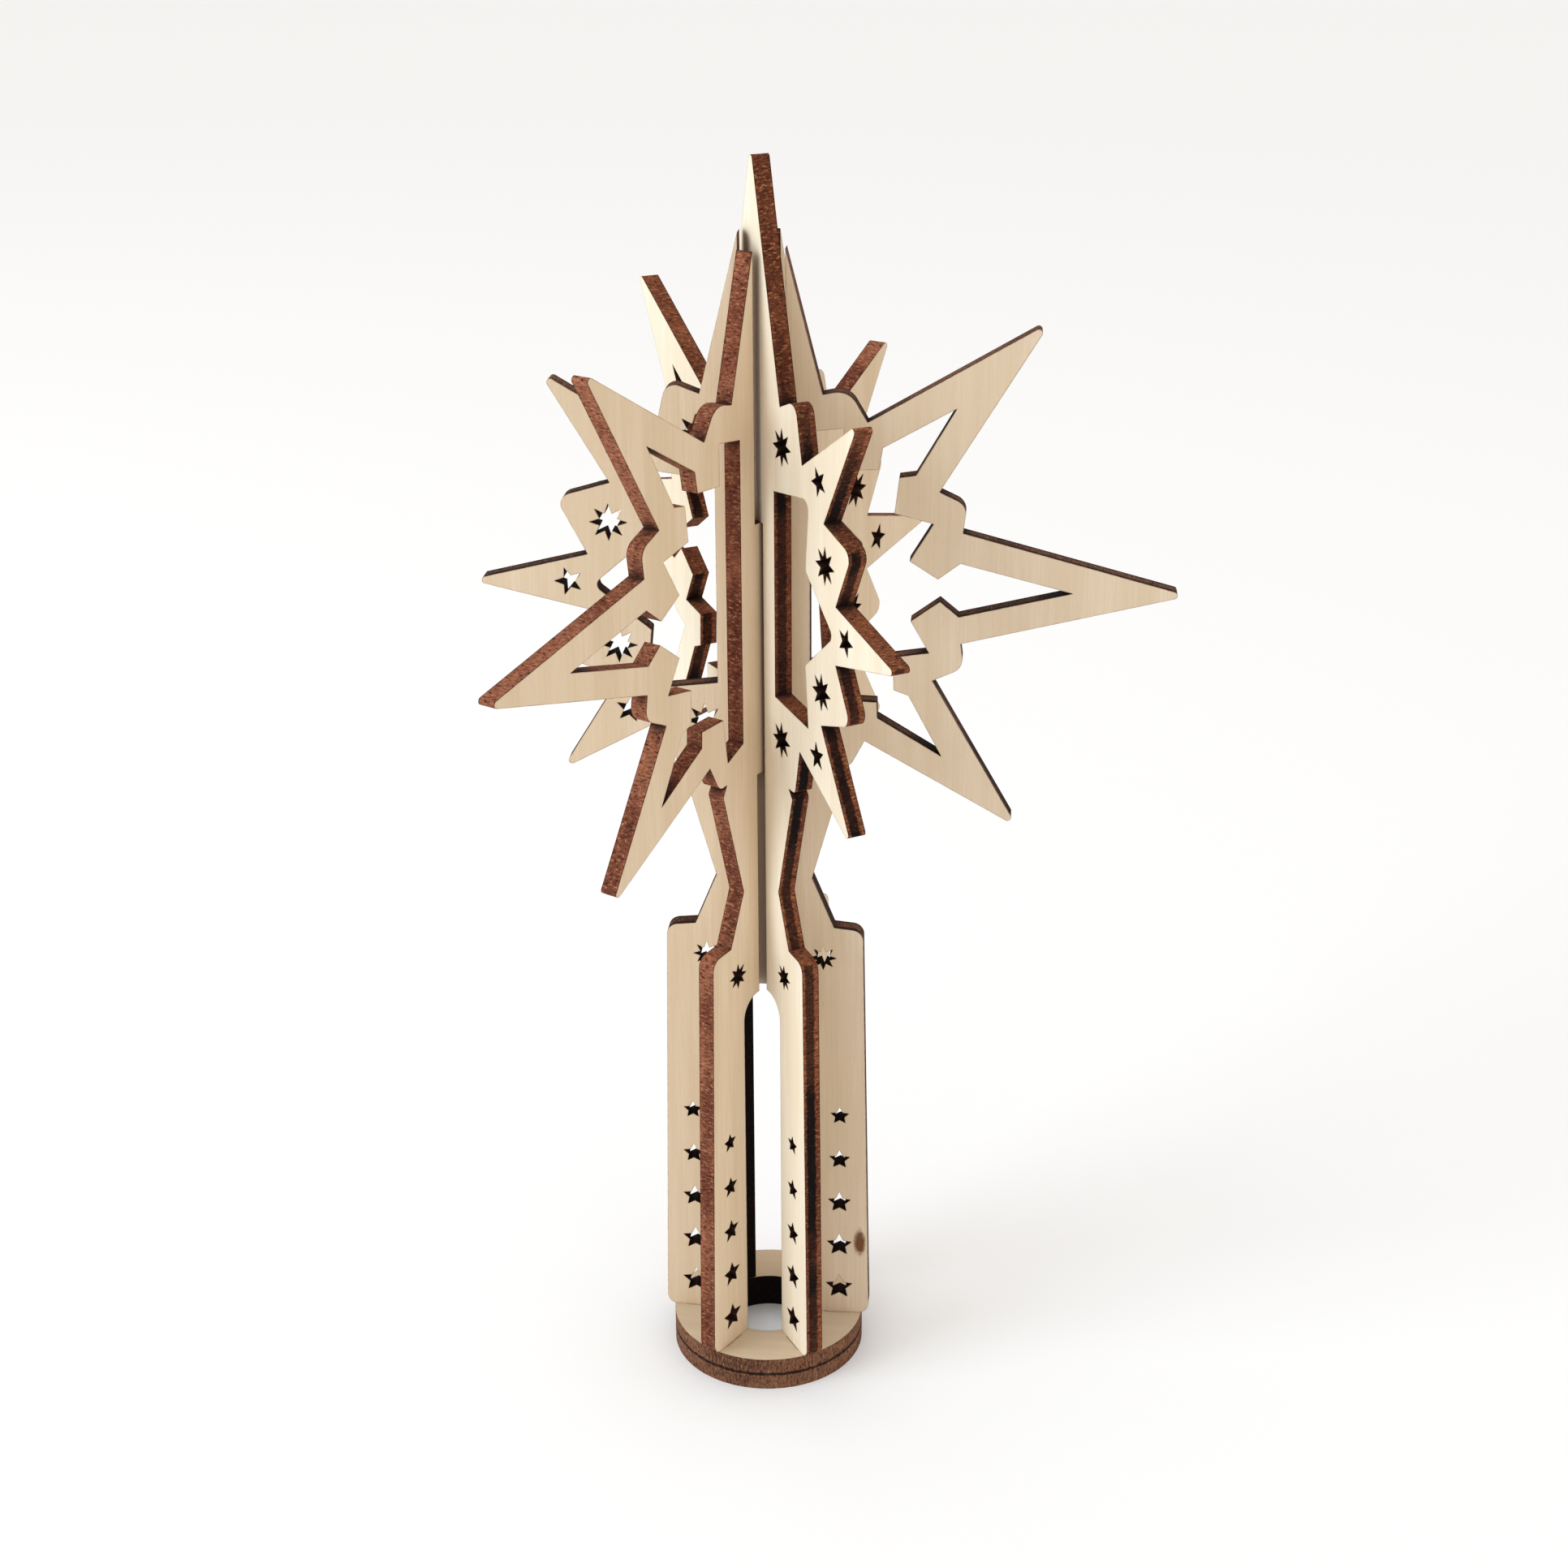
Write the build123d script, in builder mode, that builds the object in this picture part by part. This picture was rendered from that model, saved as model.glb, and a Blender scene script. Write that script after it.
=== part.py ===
from build123d import *
from math import cos, pi, sin
import os

# A slot-together plywood star on a long socket. Three flat plates share one outline, cross on one
# upright axis about 60 degrees apart, and stand with their tabs in two stacked rings.
# Origin: centre of the lower ring's underside, on the axis. +Z up, millimetres.
# In an outline, x is the distance from the axis and z the height. The half with the large open
# points lies on +x, the half with the small starry points on -x.

# Driving dimensions
SHEET = 3.0  # plywood thickness
SLOT_WIDTH = 7.3  # slot that lets both other plates cross, with room to spare
SLOT_X = 0.35  # the slot's middle lies this far from the axis, towards the open half
STAR_Z = 143.0  # height of the star's centre
APEX_Z = 212.0  # height where the spire's two sides would meet

RING_RADIUS = 16.8
SOCKET_RADIUS = 8.35  # hole of the rings, and inner edge of the wings above them
RINGS_TOP = 2 * SHEET
ARCH_TOP = 71.4  # closed upper end of the socket
ARCH_CORNER = 4.0

TOP_JOINT_Z = 153.5  # here the top plate's slot sits on the middle plate
LOW_JOINT_Z = 111.0  # here the middle plate's slot sits on the bottom plate

WAIST_X = 8.0
WAIST_Z = 91.5
SHOULDER_X = 11.7
SHOULDER_Z = 82.4
WING_TOP_X = 16.6
WING_TOP_Z = 81.9
WING_FOOT_X = 18.1
WING_CORNER = 2.0

TAB_INNER = 10.5
TAB_OUTER = 14.5
TAB_PLAY = 0.1  # clearance round a tab in its ring slot

TIP_ROUND = 0.6  # blunt ends of the star's points
COLUMN_BIG = 7.7  # half of the middle column, on the open side
COLUMN_SMALL = 7.3  # and on the starry side

WING_STARS = 5
WING_STAR_X = 12.8
WING_STAR_Z = 11.3
WING_STAR_PITCH = 8.73
WING_STAR_RADIUS = 2.5
WING_STAR_SHRINK = 0.2  # each star up the wing is this much smaller
SHOULDER_STAR_X = 9.9
SHOULDER_STAR_Z = 76.7
SHOULDER_STAR_RADIUS = 2.3
POINT_STAR_RADIUS = 2.4  # five-pointed holes in the small points
LOBE_STAR_RADIUS = 3.1  # eight-pointed holes between the small points

# Direction of each plate's open half. The top plate sits 2 degrees past the even spacing, because
# its slot is wider than the plates that cross in it.
PLATE_TURNS = {"plate_bottom": 0, "plate_top": 122, "plate_middle": 240}

# Outline corners of the star, measured from its centre: x, z, corner radius.
BIG_SIDE = [
    (9.7, 30.8, 0),
    (13.7, 31.6, 3.2),
    (16.7, 26.5, 0),
    (44.3, 42.6, TIP_ROUND),
    (28.0, 15.6, 0),
    (32.4, 13.5, 2.4),
    (31.8, 9.0, 0),
    (67.4, -0.4, TIP_ROUND),
    (31.8, -9.4, 0),
    (32.4, -13.5, 2.4),
    (27.4, -15.8, 0),
    (41.7, -40.9, TIP_ROUND),
    (16.6, -26.6, 0),
    (14.2, -31.2, 1.6),
    (12.2, -31.0, 0),
]
SMALL_SIDE = [
    (-9.5, 30.6, 0),
    (-14.7, 32.6, 2.0),
    (-16.9, 23.2, 0),
    (-34.6, 33.7, TIP_ROUND),
    (-24.0, 16.0, 0),
    (-32.8, 13.4, 1.8),
    (-27.9, 4.1, 0),
    (-47.3, -0.7, TIP_ROUND),
    (-27.9, -5.2, 0),
    (-32.8, -13.5, 1.8),
    (-23.2, -16.6, 0),
    (-33.4, -33.2, TIP_ROUND),
    (-15.9, -23.6, 0),
    (-14.2, -31.4, 0.8),
    (-12.0, -31.4, 0),
]

# The open half's one large window: the notch beside the column, the hollows of the three large
# points, and the toothed ring between them.
BIG_WINDOW = [
    (COLUMN_BIG, 24.9, 0),
    (13.0, 25.5, 0),
    (13.0, 18.8, 0),
    (18.5, 19.0, 0),
    (19.1, 22.5, 0),
    (30.5, 29.0, 0),
    (24.3, 18.2, 0),
    (21.7, 17.8, 0),
    (21.0, 12.0, 0),
    (27.2, 10.4, 0),
    (23.5, 4.2, 0),
    (28.0, 1.3, 0),
    (31.5, 4.0, 0),
    (49.3, -0.5, 0),
    (31.4, -4.9, 0),
    (28.4, -2.4, 0),
    (23.8, -5.8, 0),
    (26.8, -11.1, 0),
    (21.0, -12.0, 0),
    (21.2, -17.6, 0),
    (23.6, -18.5, 0),
    (29.1, -28.9, 0),
    (18.6, -22.5, 0),
    (18.5, -19.8, 0),
    (12.9, -19.6, 0),
    (11.9, -27.3, 0),
    (COLUMN_BIG, -25.3, 0),
]
SMALL_WINDOW = [
    (-COLUMN_SMALL, 16.8, 0),
    (-19.1, 18.4, 1.6),
    (-18.0, 7.0, 0.5),
    (-27.2, -1.0, 1.2),
    (-17.9, -8.4, 0.5),
    (-18.9, -18.6, 0),
    (-COLUMN_SMALL, -17.2, 0),
]

# Starry holes, measured from the star's centre: x, z, and where the first point aims.
POINT_STARS = [(-22.3, 22.0, 135), (-31.1, -0.5, 180), (-21.8, -22.2, 225)]
LOBE_STARS = [(-10.1, 24.4), (-24.4, 9.5), (-23.3, -11.1), (-9.5, -23.9)]


def lifted(corners):
    """Corners measured from the star's centre, put at the star's height."""
    return [(x, z + STAR_Z, radius) for x, z, radius in corners]


def socket_side(side):
    """Corners of the neck, shoulder and wing on one side, from the neck down to the arch."""
    corners = [
        (13.2, LOW_JOINT_Z - 0.9, 0.5),
        (WAIST_X, WAIST_Z, 0.6),
        (SHOULDER_X, SHOULDER_Z, 0),
        (WING_TOP_X, WING_TOP_Z, WING_CORNER),
        (WING_FOOT_X, RINGS_TOP, WING_CORNER),
        (TAB_OUTER, RINGS_TOP, 0),
        (TAB_OUTER, 0, 0),
        (TAB_INNER, 0, 0),
        (TAB_INNER, RINGS_TOP, 0),
        (SOCKET_RADIUS, RINGS_TOP, 0),
        (SOCKET_RADIUS, ARCH_TOP, ARCH_CORNER),
    ]
    return [(side * x, z, radius) for x, z, radius in corners]


def rounded_face(corners):
    """Flat region bounded by the corners, each rounded to its own radius."""
    with BuildSketch() as region:
        with BuildLine():
            FilletPolyline(
                [(x, z) for x, z, _ in corners],
                radius=[radius for _, _, radius in corners],
                close=True,
            )
        make_face()
    return region.sketch


def star_face(points, radius, depth, first_angle=90):
    """Star with its points on one circle and its valleys at depth times that radius."""
    reach = [radius, radius * depth] * points
    turns = [first_angle * pi / 180 + step * pi / points for step in range(2 * points)]
    with BuildSketch() as star:
        with BuildLine():
            Polyline([(r * cos(a), r * sin(a)) for r, a in zip(reach, turns)], close=True)
        make_face()
    return star.sketch


def blank_outline():
    """The outline, windows and starry holes that all three plates share, without slots."""
    apex = [(0, APEX_Z, TIP_ROUND)]
    around = apex + lifted(BIG_SIDE) + socket_side(1)
    around += list(reversed(lifted(SMALL_SIDE) + socket_side(-1)))
    with BuildSketch() as blank:
        add(rounded_face(around))
        add(rounded_face(lifted(BIG_WINDOW)), mode=Mode.SUBTRACT)
        add(rounded_face(lifted(SMALL_WINDOW)), mode=Mode.SUBTRACT)
        for x, z, aim in POINT_STARS:
            with Locations((x, z + STAR_Z)):
                add(star_face(5, POINT_STAR_RADIUS, 0.42, aim), mode=Mode.SUBTRACT)
        with Locations([(x, z + STAR_Z) for x, z in LOBE_STARS]):
            add(star_face(8, LOBE_STAR_RADIUS, 0.48), mode=Mode.SUBTRACT)
        for side in (-1, 1):
            with Locations((side * SHOULDER_STAR_X, SHOULDER_STAR_Z)):
                add(star_face(8, SHOULDER_STAR_RADIUS, 0.5), mode=Mode.SUBTRACT)
            for step in range(WING_STARS):
                size = WING_STAR_RADIUS - step * WING_STAR_SHRINK
                with Locations((side * WING_STAR_X, WING_STAR_Z + step * WING_STAR_PITCH)):
                    add(star_face(5, size, 0.48), mode=Mode.SUBTRACT)
    return blank.sketch


def cut_plate(label, blank, slots):
    """One plate: the shared outline, its own axis slots, turned to its own direction."""
    upright = Plane.XZ.rotated((0, 0, PLATE_TURNS[label]))
    with BuildPart() as plate:
        with BuildSketch(upright):
            add(blank)
            for low, high in slots:
                with Locations((SLOT_X, (low + high) / 2)):
                    Rectangle(SLOT_WIDTH, high - low, mode=Mode.SUBTRACT)
        extrude(amount=SHEET / 2, both=True)
    plate.part.label = label
    return plate.part


def cut_ring(label, underside):
    """One ring with the socket hole and a pair of tab slots under each plate."""
    tab_middle = (TAB_INNER + TAB_OUTER) / 2
    slot_length = TAB_OUTER - TAB_INNER + 2 * TAB_PLAY
    slot_width = SHEET + 2 * TAB_PLAY
    with BuildPart() as ring:
        with BuildSketch(Plane.XY.offset(underside)):
            Circle(RING_RADIUS)
            Circle(SOCKET_RADIUS, mode=Mode.SUBTRACT)
            for turn in PLATE_TURNS.values():
                with PolarLocations(tab_middle, 2, start_angle=turn):
                    Rectangle(slot_length, slot_width, mode=Mode.SUBTRACT)
        extrude(amount=SHEET)
    ring.part.label = label
    return ring.part


ABOVE = APEX_Z + SHEET  # clear of the spire
BELOW = ARCH_TOP - SHEET  # inside the arch
outline = blank_outline()
pieces = [
    cut_plate("plate_bottom", outline, [(LOW_JOINT_Z, ABOVE)]),
    cut_plate("plate_middle", outline, [(TOP_JOINT_Z, ABOVE), (BELOW, LOW_JOINT_Z)]),
    cut_plate("plate_top", outline, [(BELOW, TOP_JOINT_Z)]),
    cut_ring("ring_lower", 0),
    cut_ring("ring_upper", SHEET),
]

os.makedirs("parts", exist_ok=True)
for piece in pieces:
    export_step(piece, f"parts/{piece.label}.step")
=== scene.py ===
import math

import bpy
from mathutils import Matrix, Vector


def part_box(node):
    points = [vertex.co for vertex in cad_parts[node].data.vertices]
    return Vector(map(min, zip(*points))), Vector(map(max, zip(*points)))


MM = 0.001

# Camera: its place in millimetres, and its yaw, pitch and roll in degrees.
CAMERA_PLACE = (38.8, -364.6, 263.5)
CAMERA_TURN = (-5.557, 21.175, 0.296)
CAMERA_LENS = 55.37
CAMERA_SENSOR = 36
CAMERA_SHIFT = -0.05

# Studio, in metres and watts.
SKY_COLOUR = (1.0, 0.98, 0.955, 1)
SKY_STRENGTH = 0.92
KEY_PLACE = (-1.0, -0.6, 0.6)
KEY_AIM = (0, 0, 0.11)
KEY_SIZE = 0.8
KEY_POWER = 7.5
KEY_COLOUR = (0.80, 0.92, 1.0)
FLOOR_SIZE = 14
FLOOR_COLOUR = (0.985, 0.985, 0.99, 1)
FLOOR_ROUGHNESS = 0.9

SHADING_SAMPLES = 6  # of each shader node that looks round a surface point

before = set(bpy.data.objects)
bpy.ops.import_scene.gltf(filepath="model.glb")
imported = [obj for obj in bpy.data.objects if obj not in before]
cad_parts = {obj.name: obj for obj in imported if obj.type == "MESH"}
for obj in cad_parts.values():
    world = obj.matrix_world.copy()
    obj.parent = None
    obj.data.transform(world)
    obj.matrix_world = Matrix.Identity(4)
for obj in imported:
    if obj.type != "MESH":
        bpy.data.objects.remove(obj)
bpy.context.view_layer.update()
scene = bpy.context.scene


# ---------------------------------------------------------------- camera and studio

def look(yaw, pitch, roll):
    """Camera rotation: yaw right of +Y, pitch below the horizon, roll clockwise, in degrees."""
    y, p, r = (math.radians(a) for a in (yaw, pitch, roll))
    forward = Vector((math.sin(y) * math.cos(p), math.cos(y) * math.cos(p), -math.sin(p)))
    right = Vector((math.cos(y), -math.sin(y), 0))
    down = forward.cross(right)
    rolled = right * math.cos(r) + down * math.sin(r)
    up = rolled.cross(forward)
    return Matrix((rolled, up, -forward)).transposed()


def add_camera():
    data = bpy.data.cameras.new("camera")
    data.sensor_width = CAMERA_SENSOR
    data.lens = CAMERA_LENS
    data.shift_y = CAMERA_SHIFT
    data.clip_start, data.clip_end = 0.01, 50
    camera = bpy.data.objects.new("camera", data)
    scene.collection.objects.link(camera)
    place = Matrix.Translation(Vector(CAMERA_PLACE) * MM)
    camera.matrix_world = place @ look(*CAMERA_TURN).to_4x4()
    scene.camera = camera


def add_sky():
    world = bpy.data.worlds.new("studio")
    scene.world = world
    world.use_nodes = True
    sky = world.node_tree.nodes["Background"]
    sky.inputs["Color"].default_value = SKY_COLOUR
    sky.inputs["Strength"].default_value = SKY_STRENGTH


def add_key():
    data = bpy.data.lights.new("key", "AREA")
    data.shape = "DISK"
    data.size = KEY_SIZE
    data.energy = KEY_POWER
    data.color = KEY_COLOUR
    lamp = bpy.data.objects.new("key", data)
    scene.collection.objects.link(lamp)
    lamp.location = KEY_PLACE
    aim = Vector(KEY_AIM) - Vector(KEY_PLACE)
    lamp.rotation_euler = aim.to_track_quat("-Z", "Y").to_euler()


def add_floor():
    bpy.ops.mesh.primitive_plane_add(size=FLOOR_SIZE, location=(0, 0, 0))
    floor = bpy.context.object
    floor.name = "floor"
    paint = bpy.data.materials.new("floor_white")
    paint.use_nodes = True
    shader = paint.node_tree.nodes["Principled BSDF"]
    shader.inputs["Base Color"].default_value = FLOOR_COLOUR
    shader.inputs["Roughness"].default_value = FLOOR_ROUGHNESS
    floor.data.materials.append(paint)


# ---------------------------------------------------------------- node helpers

def linear(red, green, blue):
    """A colour given as 0 to 255 display values, as the shader's linear colour."""
    def one(v):
        v /= 255
        return v / 12.92 if v <= 0.04045 else ((v + 0.055) / 1.055) ** 2.4
    return (one(red), one(green), one(blue), 1)


class Tree:
    """Short calls for building one material's nodes."""

    def __init__(self, name):
        self.material = bpy.data.materials.new(name)
        self.material.use_nodes = True
        self.nodes = self.material.node_tree.nodes
        self.links = self.material.node_tree.links
        self.shader = self.nodes["Principled BSDF"]

    def join(self, value, socket):
        if isinstance(value, bpy.types.NodeSocket):
            self.links.new(value, socket)
        else:
            socket.default_value = value

    def math(self, operation, a, b=0.0, clamp=False):
        node = self.nodes.new("ShaderNodeMath")
        node.operation = operation
        node.use_clamp = clamp
        self.join(a, node.inputs[0])
        self.join(b, node.inputs[1])
        return node.outputs[0]

    def plus(self, a, b):
        return self.math("ADD", a, b)

    def minus(self, a, b):
        return self.math("SUBTRACT", a, b)

    def times(self, a, b):
        return self.math("MULTIPLY", a, b)

    def over(self, a, b):
        return self.math("DIVIDE", a, b)

    def larger(self, a, b):
        return self.math("MAXIMUM", a, b)

    def absolute(self, a):
        return self.math("ABSOLUTE", a)

    def dot(self, a, b):
        node = self.nodes.new("ShaderNodeVectorMath")
        node.operation = "DOT_PRODUCT"
        self.join(a, node.inputs[0])
        self.join(b, node.inputs[1])
        return node.outputs["Value"]

    def vector(self, x, y, z):
        node = self.nodes.new("ShaderNodeCombineXYZ")
        for value, socket in zip((x, y, z), node.inputs):
            self.join(value, socket)
        return node.outputs[0]

    def noise(self, place, scale=1.0, detail=2.0, roughness=0.5):
        node = self.nodes.new("ShaderNodeTexNoise")
        self.join(place, node.inputs["Vector"])
        node.inputs["Scale"].default_value = scale
        node.inputs["Detail"].default_value = detail
        node.inputs["Roughness"].default_value = roughness
        return node.outputs["Fac"]

    def span(self, value, low, high, to_low=0.0, to_high=1.0):
        """A smooth step from to_low, where value is low, to to_high, where it is high."""
        node = self.nodes.new("ShaderNodeMapRange")
        node.interpolation_type = "SMOOTHSTEP"
        for item, socket in zip((value, low, high, to_low, to_high), node.inputs):
            self.join(item, socket)
        return node.outputs[0]

    def mix(self, share, a, b, blend="MIX"):
        node = self.nodes.new("ShaderNodeMix")
        node.data_type = "RGBA"
        node.blend_type = blend
        self.join(share, node.inputs["Factor"])
        self.join(a, node.inputs["A"])
        self.join(b, node.inputs["B"])
        return node.outputs["Result"]

    def tinted(self, colour, red, green, blue):
        """The colour with each channel multiplied."""
        return self.mix(1.0, colour, (red, green, blue, 1), "MULTIPLY")

    def openness(self, depth, own_piece_only=False):
        """1 where nothing is within depth, in millimetres, and 0 in a closed gap."""
        node = self.nodes.new("ShaderNodeAmbientOcclusion")
        node.samples = SHADING_SAMPLES
        node.only_local = own_piece_only
        node.inputs["Distance"].default_value = depth * MM
        return node.outputs["AO"]


# ---------------------------------------------------------------- plywood

FACE_ROUGHNESS = (0.62, 0.62, 0.62, 1)
EDGE_ROUGHNESS = (0.88, 0.88, 0.88, 1)
SPECULAR = 0.1
SCORCH_WIDTH = 0.3  # of the burnt line along a cut, in millimetres
BUMP_HEIGHT = 0.12  # millimetres

FLECK = linear(178, 140, 98)
# Painted shade: the brown put on faces in narrow gaps and where the plates cross.
GAP_SHADE = linear(120, 80, 50)
KNOT = linear(112, 74, 46)
SCORCH = linear(120, 78, 50)
PIT = linear(54, 27, 20)  # dark grains in a burnt edge
CHAR = linear(18, 11, 11)
CHAR_GRAIN = linear(64, 36, 28)
# Partly laser char, partly painted shade in concave corners and small holes.
CORNER_CHAR_AND_SHADE = linear(26, 16, 15)

# What each multiplies a colour's red, green and blue by.
FACE_BAND = (0.92, 0.89, 0.84)
FACE_FIBRE = (0.82, 0.75, 0.65)
FACE_CLOUD = (0.94, 0.88, 0.80)
COLUMN_BURN = (0.62, 0.50, 0.42)

# Places in millimetres. A pair is where a change in the looks starts and where it ends.
STAR_HEIGHT = 143.0
FROM_STAR = (26.0, 60.0)  # above or below the star's centre
OFF_COLUMN = (7.9, 9.2)  # from the axis
OFF_SOCKET = (9.0, 9.8)  # from the axis
OFF_CROSSING = (2.3, 3.2)  # from the axis, for the painted shade where plates cross
ARCH_TOP = (73.0, 76.0)
SPIRE = (158.0, 190.0)
CORE_MIDDLE = 0.2  # the middle ply's, from the sheet's mid-plane
CORE = (0.62, 0.98)  # from the middle ply's middle
RING_LIP = (0.95, 1.45)  # from the ring's mid-plane
PLATE_LIP = (1.25, 1.48)  # from the plate's mid-plane
GAP_SHADE_DEPTH = 4  # how near another surface brings painted shade onto a face
CORNER_DEPTH = 3.5  # how far the black of inner corners, char and painted shade, reaches


class Plywood(Tree):
    """Birch plywood whose sheet lies in the plane of along and rise, with across through it.

    u, v and w are the place along, up and through the sheet, in millimetres, w from its
    mid-plane. middle is where that plane lies along across, in metres. Each seed gives other wood.
    """

    def __init__(self, name, along, across, rise, middle, seed):
        super().__init__(name)
        self.seed = seed
        coords = self.nodes.new("ShaderNodeTexCoord")
        place = coords.outputs["Object"]
        normal = coords.outputs["Normal"]
        self.u = self.times(self.dot(place, along), 1 / MM)
        self.v = self.times(self.dot(place, rise), 1 / MM)
        self.w = self.times(self.minus(self.dot(place, across), middle), 1 / MM)
        self.is_face = self.span(self.absolute(self.dot(normal, across)), 0.6, 0.8)
        self.upright = self.span(self.absolute(self.dot(normal, along)), 0.55, 0.93)
        self.level = self.span(self.absolute(self.dot(normal, rise)), 0.45, 0.9)

        self.spot = self.vector(self.u, self.v, self.plus(self.w, seed))
        self.flat_spot = self.vector(self.u, self.v, seed)
        waver = self.minus(self.noise(self.spot, 1.1, 4.0, 0.65), 0.5)
        self.waver = self.times(waver, 0.9)

        bevel = self.nodes.new("ShaderNodeBevel")
        bevel.samples = SHADING_SAMPLES
        bevel.inputs["Radius"].default_value = SCORCH_WIDTH * MM
        self.rounded_normal = bevel.outputs["Normal"]

    def drawn_out(self, share):
        """Where to read noise that changes by only this share of its pace through the sheet."""
        through = self.plus(self.times(self.w, share), self.seed)
        return self.vector(self.u, self.v, through)

    def grained(self, fine_u, fine_v, detail, shift):
        """Noise with its own spacing, in millimetres, across and along the grain."""
        through = self.plus(self.times(self.w, 0.35), self.seed + shift)
        spot = self.vector(self.over(self.u, fine_u), self.over(self.v, fine_v), through)
        return self.noise(spot, 1.0, detail)

    # ---- faces

    def sapwood(self, veneer_and_light):
        """Pale wood with broad soft bands, fine fibres, clouds and a few short brown flecks, over
        the given face colour with its painted light and shade.
        """
        bands = self.span(self.grained(5.0, 70.0, 2.0, 0.0), 0.35, 0.65)
        cream = self.mix(bands, veneer_and_light, self.tinted(veneer_and_light, *FACE_BAND))
        fibres = self.span(self.grained(0.35, 14.0, 3.0, 7.0), 0.3, 0.7)
        cream = self.mix(self.times(fibres, 0.35), cream, self.tinted(veneer_and_light, *FACE_FIBRE))
        clouds = self.span(self.noise(self.flat_spot, 0.05, 3.0), 0.35, 0.75)
        cream = self.mix(self.times(clouds, 0.3), cream, self.tinted(veneer_and_light, *FACE_CLOUD))
        flecks = self.span(self.grained(0.12, 1.1, 1.0, 13.0), 0.7, 0.78)
        return self.mix(self.times(flecks, 0.35), cream, FLECK)

    def gap_shaded(self, cream, seam):
        """Painted brown shade in narrow gaps and, on a plate, where the other plates cross it.

        The painted shade at the crossing fades as the face comes clear, so a lifted plate has
        none.
        """
        # Painted shade: a face goes brown where another surface is near, and near the axis where
        # plates cross.
        gap = self.openness(GAP_SHADE_DEPTH)
        painted_shade = self.span(gap, 0.08, 0.38, 0.95, 0.0)
        if not seam:
            crossing_shade = self.span(self.absolute(self.u), *OFF_CROSSING, 0.85, 0.0)
            crossing_shade = self.times(crossing_shade, self.span(gap, 0.4, 0.7, 1.0, 0.0))
            painted_shade = self.larger(painted_shade, crossing_shade)
        return self.mix(painted_shade, cream, GAP_SHADE)

    def knotted(self, cream, u, v):
        """A small brown mark at u, v on the face at negative w, higher than it is wide."""
        aside = self.minus(self.u, u)
        above = self.over(self.minus(self.v, v), 2.6)
        reach = self.plus(self.times(aside, aside), self.times(above, above))
        reach = self.plus(reach, self.times(self.noise(self.flat_spot, 0.9), 1.2))
        front = self.span(self.w, -1.2, -0.6, 1.0, 0.0)
        mark = self.times(self.span(reach, 0.9, 2.1, 1.0, 0.0), front)
        return self.mix(mark, cream, KNOT)

    def scorched(self, cream):
        """A thin, uneven scorched line on the face along every cut."""
        geometry = self.nodes.new("ShaderNodeNewGeometry")
        bend = self.dot(self.rounded_normal, geometry.outputs["Normal"])
        close = self.span(bend, 0.82, 0.99, 1.0, 0.0)
        uneven = self.span(self.noise(self.spot, 0.9, 3.0), 0.35, 0.65, 0.25, 0.9)
        return self.mix(self.times(close, uneven), cream, SCORCH)

    # ---- cut edges

    def ring_zones(self, seam):
        """Shares of a ring that are black in the socket, redder, and black at the seam."""
        squares = self.plus(self.times(self.u, self.u), self.times(self.v, self.v))
        socket = self.span(self.math("SQRT", squares), *OFF_SOCKET, 1.0, 0.0)
        towards_seam = self.plus(self.times(self.w, seam), self.waver)
        return socket, 0.0, self.span(towards_seam, *RING_LIP, 0.0, 0.95)

    def plate_zones(self):
        """Shares of a plate that are black in the arch, partly char and partly painted shade on
        its unlit inner edges, redder in the column, black at a face.
        """
        off_axis = self.absolute(self.u)
        below_arch = self.span(self.v, *ARCH_TOP, 1.0, 0.0)
        # Painted shade, with char: the arch's inner edges go black.
        arch_char_and_shade = self.times(self.span(off_axis, *OFF_SOCKET, 1.0, 0.0), below_arch)
        from_star = self.absolute(self.minus(self.v, STAR_HEIGHT))
        column = self.span(from_star, *FROM_STAR, 1.0, 0.0)
        column = self.times(column, self.span(off_axis, *OFF_COLUMN, 0.85, 0.0))
        towards_face = self.plus(self.absolute(self.w), self.times(self.waver, 0.3))
        return arch_char_and_shade, column, self.span(towards_face, *PLATE_LIP, 0.0, 0.6)

    def end_grain(self, char, soot, drift):
        """Share of a cut that is black because it shows a ply's end grain.

        The middle ply's grain runs crosswise, so it is black on upright cuts and the outer plies
        are black on level ones. The spire's cuts stay brown.
        """
        from_core = self.absolute(self.minus(self.w, CORE_MIDDLE))
        core = self.span(self.plus(from_core, self.waver), *CORE, 1.0, 0.0)
        tip = self.span(self.v, *SPIRE, 1.0, 0.1)
        core_share = self.times(core, self.span(self.upright, 0.0, 1.0, 0.25, 1.0))
        uneven_char = self.span(drift, 0.0, 1.0, char * 0.8, char)
        core_share = self.times(core_share, self.times(uneven_char, tip))
        outer = self.minus(1.0, core)
        outer_share = self.times(outer, self.span(self.level, 0.0, 1.0, 0.35, 1.0))
        outer_share = self.times(outer_share, self.times(soot, tip))
        return self.math("ADD", core_share, outer_share, clamp=True)

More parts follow.
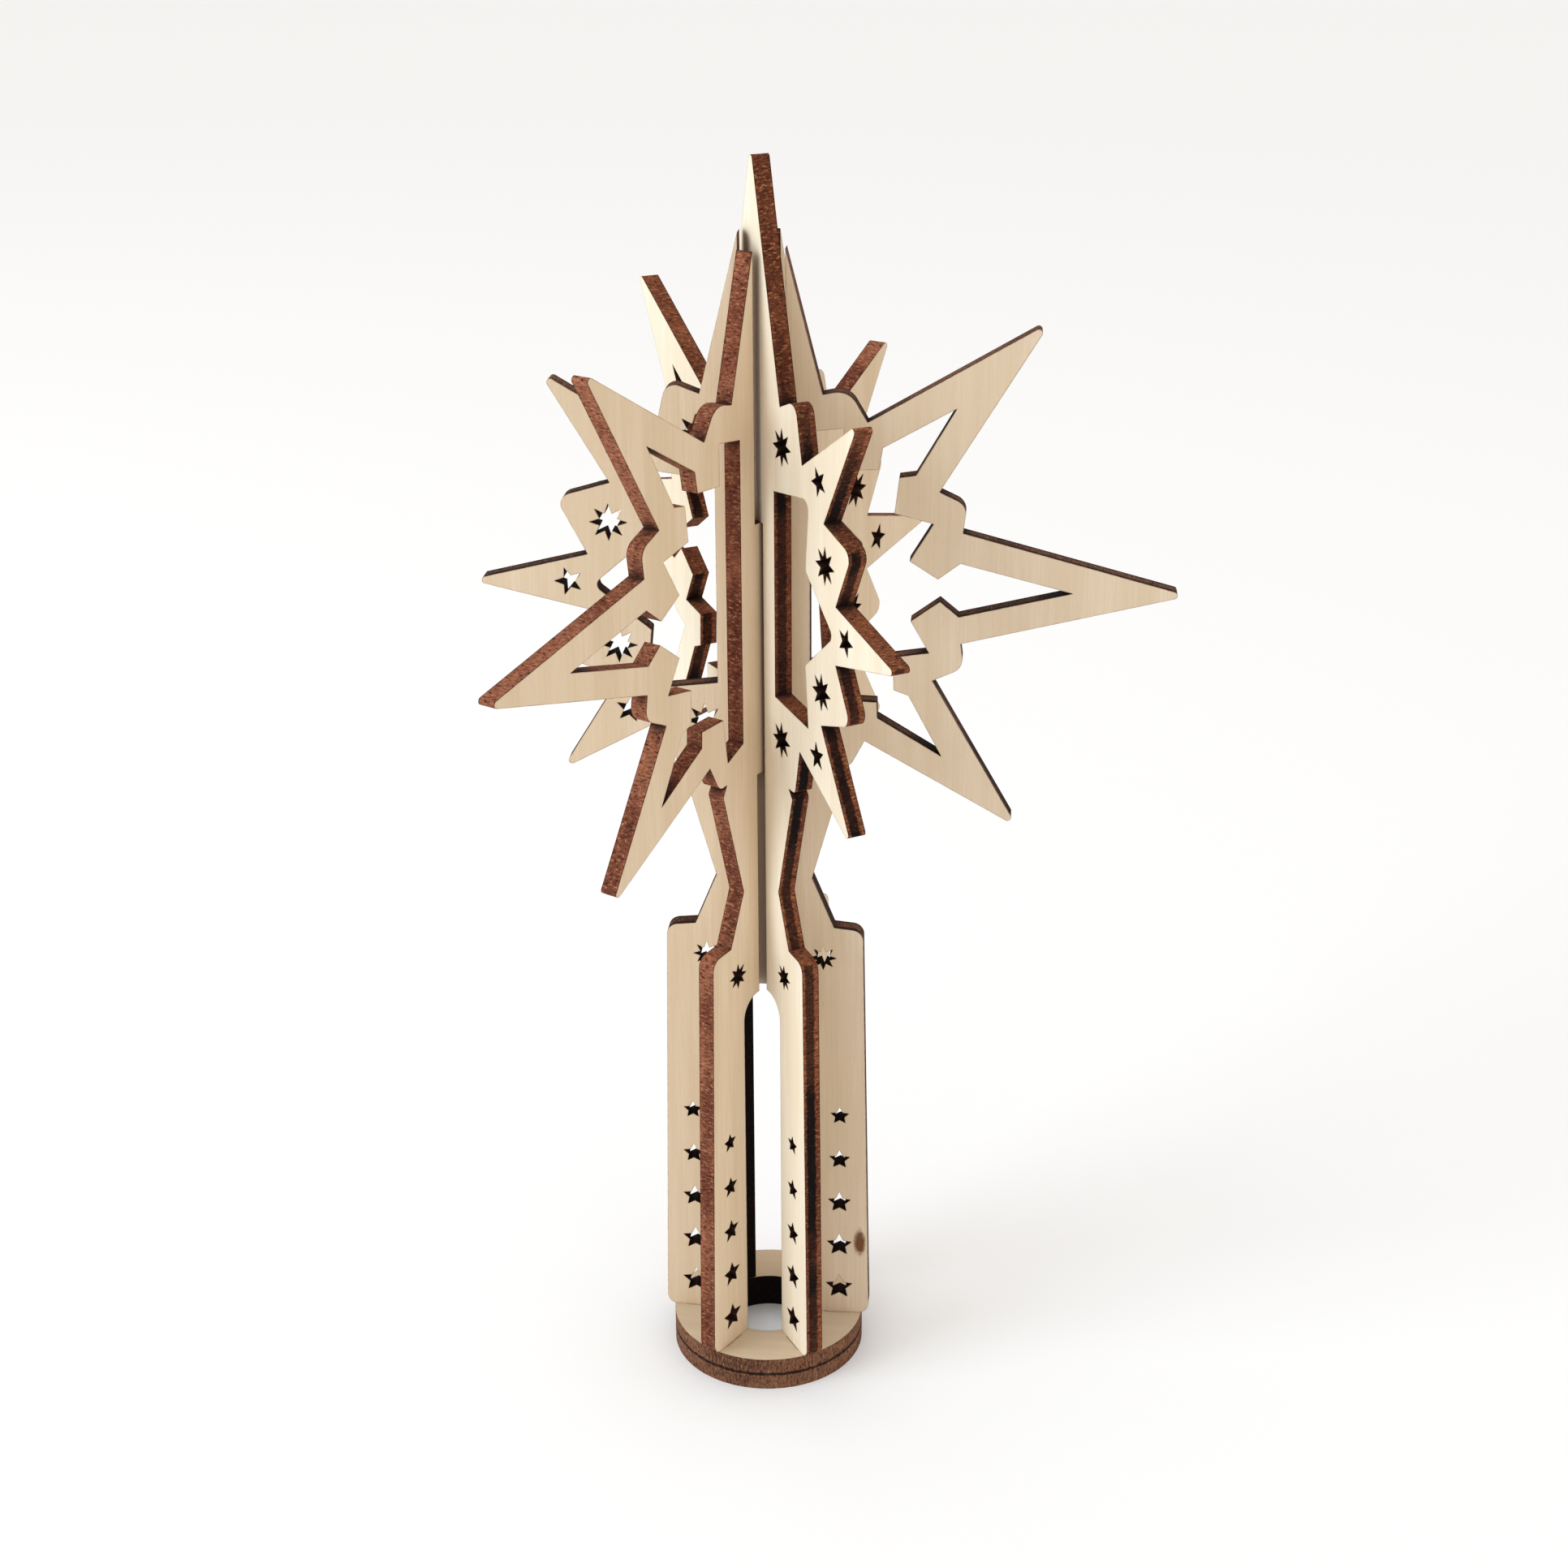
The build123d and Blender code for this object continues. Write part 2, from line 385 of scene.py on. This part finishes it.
    def burnt(self, burn, char, soot, seam):
        """Laser-burnt plies: a brown that drifts, with a gritty grain, and black parts."""
        inner, redder, lip = self.ring_zones(seam) if seam else self.plate_zones()
        drift = self.span(self.noise(self.spot, 0.06, 3.0), 0.38, 0.62)
        grit = self.noise(self.drawn_out(0.45), 2.8, 5.0, 0.72)
        light, dark, speckle = burn
        brown = self.mix(drift, light, dark)
        brown = self.mix(redder, brown, self.tinted(brown, *COLUMN_BURN))
        speckle = self.mix(self.times(redder, 0.5), speckle, dark)
        brown = self.mix(self.span(grit, 0.53, 0.66), brown, speckle)
        brown = self.mix(self.span(grit, 0.49, 0.36), brown, PIT)
        black = self.mix(self.span(grit, 0.55, 0.74), CHAR, CHAR_GRAIN)
        black_share = self.larger(self.end_grain(char, soot, drift), inner)
        edge = self.mix(self.larger(black_share, lip), brown, black)

        # The laser dwells in the inner corners and leaves them black. This black is partly that
        # char and partly painted shade in concave corners and narrow holes such as the stars.
        corner_char_and_shade = self.span(self.openness(CORNER_DEPTH, True), 0.5, 0.97, 1.0, 0.0)
        return self.mix(self.times(corner_char_and_shade, 0.9), edge, CORNER_CHAR_AND_SHADE)

    # ---- surface

    def add_bump(self):
        """Raised fibres on the faces, and the laser's fine ridges straight through the edges."""
        ridges = self.noise(self.drawn_out(0.12), 4.5, 2.0)
        pits = self.noise(self.spot, 7.0, 2.0, 0.7)
        rough_edge = self.plus(self.times(ridges, 0.6), self.times(pits, 0.4))
        fine_face = self.times(self.grained(0.25, 5.0, 3.0, 21.0), 0.3)
        face_part = self.times(self.is_face, fine_face)
        edge_part = self.times(self.minus(1.0, self.is_face), rough_edge)
        bump = self.nodes.new("ShaderNodeBump")
        bump.inputs["Strength"].default_value = 0.8
        bump.inputs["Distance"].default_value = BUMP_HEIGHT * MM
        self.join(self.plus(face_part, edge_part), bump.inputs["Height"])
        self.join(self.rounded_normal, bump.inputs["Normal"])
        self.join(bump.outputs["Normal"], self.shader.inputs["Normal"])

    def finished(self, veneer_and_light, burn, char, soot, seam=0, knot=None):
        """The material, once the sheet has its colours.

        veneer_and_light is its faces' colour, with painted light on plate_top and painted shade on
        plate_bottom and the rings. burn is its cut edges' light, dark and speckle colours, and
        char and soot are how black their middle ply and outer plies get. A ring's seam is the
        side, 1 or
        -1 along across, where the other ring lies; a plate's is 0. knot is the u and v of a brown
        mark.
        """
        cream = self.gap_shaded(self.sapwood(veneer_and_light), seam)
        if knot:
            cream = self.knotted(cream, *knot)
        cream = self.scorched(cream)
        edge = self.burnt(burn, char, soot, seam)
        inputs = self.shader.inputs
        self.join(self.mix(self.is_face, edge, cream), inputs["Base Color"])
        self.join(self.mix(self.is_face, EDGE_ROUGHNESS, FACE_ROUGHNESS), inputs["Roughness"])
        inputs["Specular IOR Level"].default_value = SPECULAR
        self.add_bump()
        return self.material


# ---------------------------------------------------------------- the pieces' wood

# Each plate: the direction of its open half in degrees, its face colour, its cut edges' light,
# dark and speckle colours, and how black their middle ply and outer plies get. The face colours
# carry painted light: plate_top's paler, cooler one is painted light on the lit face it shows,
# and plate_bottom's darker one is painted shade.
PLATES = {
    "plate_bottom": (
        0,
        # Painted shade: darker than the other plates' face colour.
        linear(221, 202, 178),
        (linear(118, 80, 62), linear(74, 46, 36), linear(140, 100, 74)),
        0.9,
        0.85,
    ),
    "plate_middle": (
        240,
        linear(229, 208, 180),
        (linear(150, 92, 68), linear(112, 60, 43), linear(184, 128, 90)),
        0.25,
        0.1,
    ),
    "plate_top": (
        122,
        # Painted light: paler and cooler than the other plates' face colour.
        linear(239, 228, 209),
        (linear(138, 80, 54), linear(102, 54, 36), linear(184, 124, 76)),
        1.0,
        0.2,
    ),
}
KNOTS = {"plate_bottom": (16.4, 20.7)}  # along the plate and up, in millimetres

RING_SEAMS = {"ring_lower": 1, "ring_upper": -1}  # the side where the other ring lies
# Painted shade: the rings' face colour is darker than the plates', after the shaded front of the
# ring top.
RING_VENEER_AND_SHADE = linear(216, 198, 174)
RING_BURN = (linear(126, 86, 64), linear(100, 65, 48), linear(158, 114, 84))
RING_CHAR = 0.2
RING_SOOT = 0.15

SEED_STEP = 3.7
FIRST_RING_SEED = 4

X_AXIS = (1, 0, 0)
Y_AXIS = (0, 1, 0)
Z_AXIS = (0, 0, 1)


def dress(node, material):
    """Gives a CAD node its material."""
    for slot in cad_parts[node].material_slots:
        slot.material = material


def dress_plates():
    for count, (node, (turn, veneer_and_light, burn, char, soot)) in enumerate(PLATES.items()):
        a = math.radians(turn)
        along = (math.cos(a), math.sin(a), 0)
        across = (-math.sin(a), math.cos(a), 0)
        wood = Plywood(f"{node}_plywood", along, across, Z_AXIS, 0.0, SEED_STEP * count)
        dress(node, wood.finished(veneer_and_light, burn, char, soot, knot=KNOTS.get(node)))


def dress_rings():
    for count, (node, seam) in enumerate(RING_SEAMS.items(), FIRST_RING_SEED):
        low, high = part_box(node)
        middle = (low[2] + high[2]) / 2
        wood = Plywood(f"{node}_plywood", Y_AXIS, Z_AXIS, X_AXIS, middle, SEED_STEP * count)
        dress(node, wood.finished(RING_VENEER_AND_SHADE, RING_BURN, RING_CHAR, RING_SOOT, seam))


add_camera()
add_sky()
add_key()
add_floor()
scene.view_settings.view_transform = "Standard"
dress_plates()
dress_rings()
